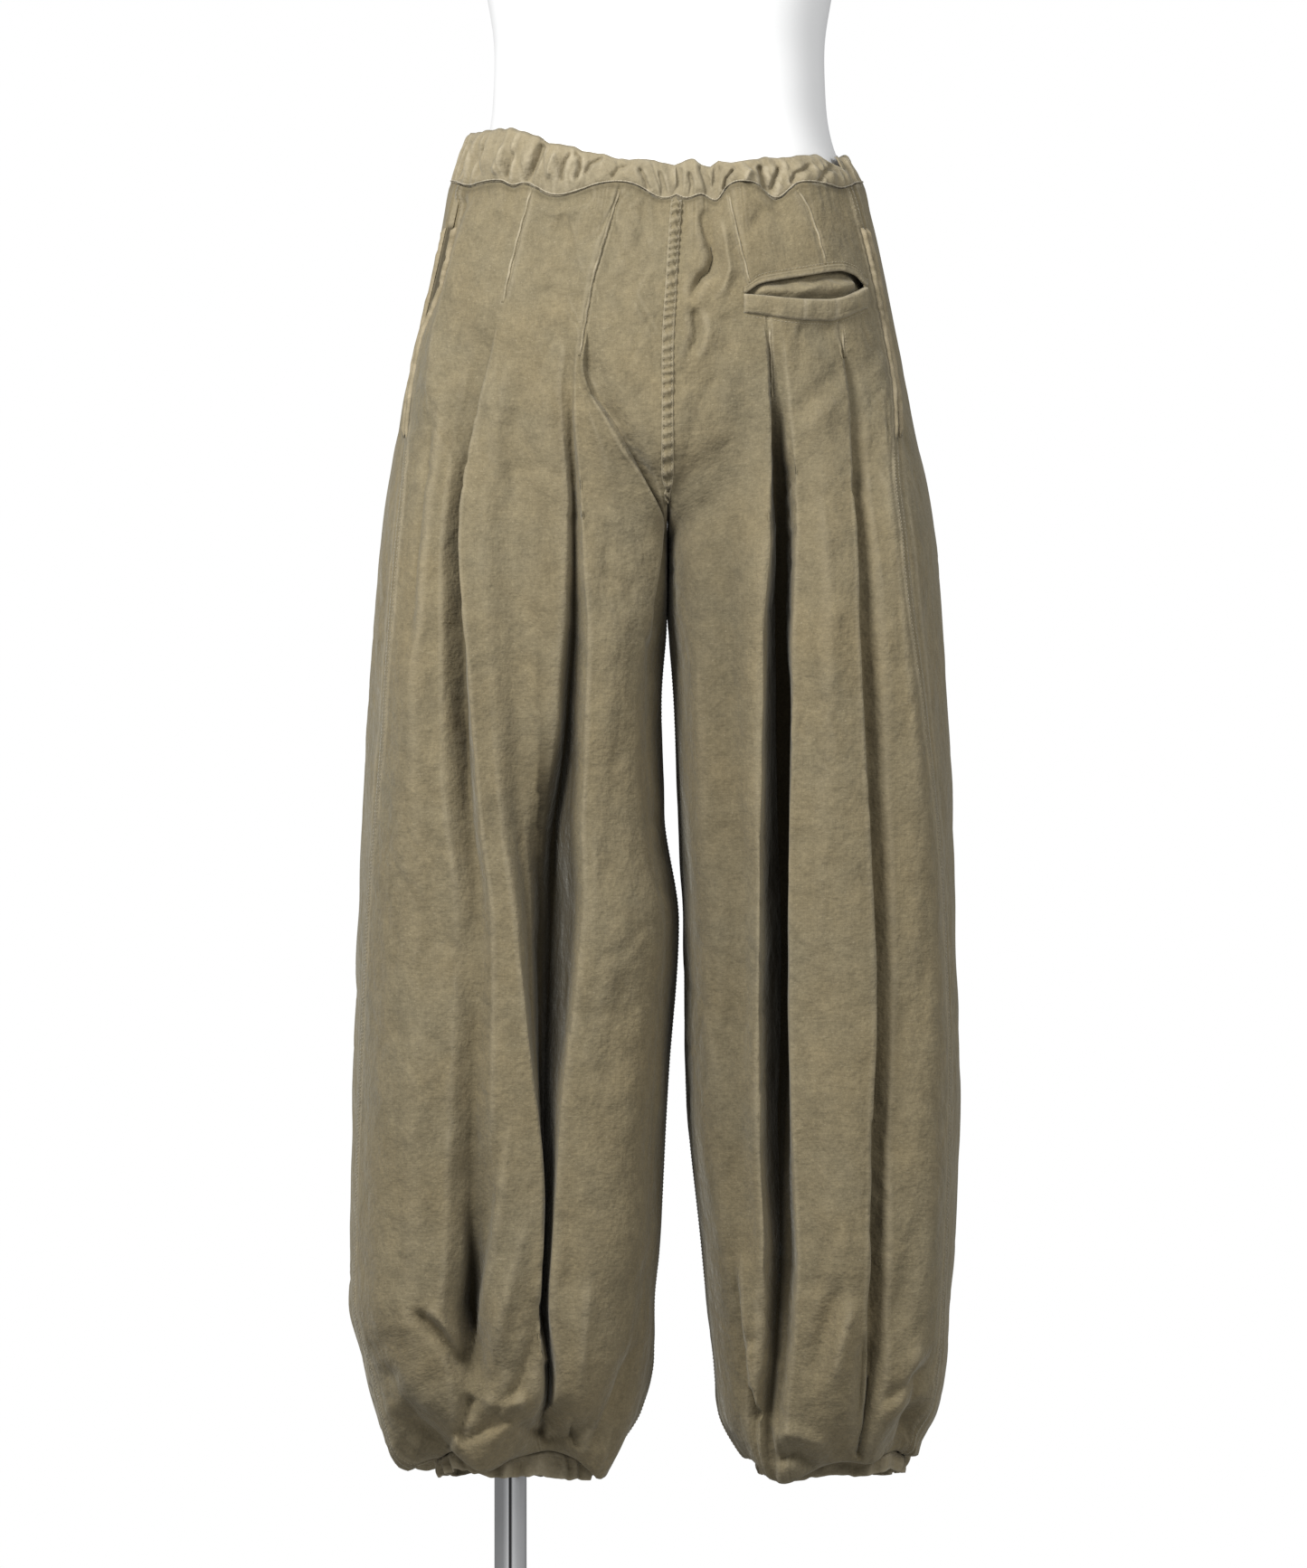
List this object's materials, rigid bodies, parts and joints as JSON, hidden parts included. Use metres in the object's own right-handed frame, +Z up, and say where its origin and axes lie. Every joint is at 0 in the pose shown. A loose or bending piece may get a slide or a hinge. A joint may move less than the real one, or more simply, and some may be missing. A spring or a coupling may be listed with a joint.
{
  "type": "work trousers on a dress form",
  "caption": "Wide pleated olive cotton work trousers with a gathered waist and drawn-in hems, on a white limbless dress form with a pole and round foot.",
  "frame": {"origin": "on the floor under the middle of the bounding box", "axes": "+Z up, +X towards the wearer's right, +Y towards the wearer's front; the back of the trousers faces -Y"},
  "size_m": [0.537, 0.38, 1.7],
  "materials": {
    "canvas": "matte",
    "worn_binding": "matte",
    "form_white": "matte",
    "stand_chrome": "polished"
  },
  "bodies": {
    "root": {"back_left": "canvas", "back_right": "canvas", "front_left": "canvas", "front_right": "canvas", "seam_centre_back": "canvas", "waistband_back": "canvas", "waistband_front": "canvas", "hem_casing_left": "canvas", "hem_casing_right": "canvas", "pocket_welt": "canvas", "pocket_facing": "canvas", "pocket_edge_left_back": "worn_binding", "pocket_edge_left_front": "worn_binding", "pocket_edge_right_back": "worn_binding", "pocket_edge_right_front": "worn_binding", "dress_form": "form_white", "pole": "stand_chrome", "foot": "stand_chrome"}
  },
  "joints": []
}
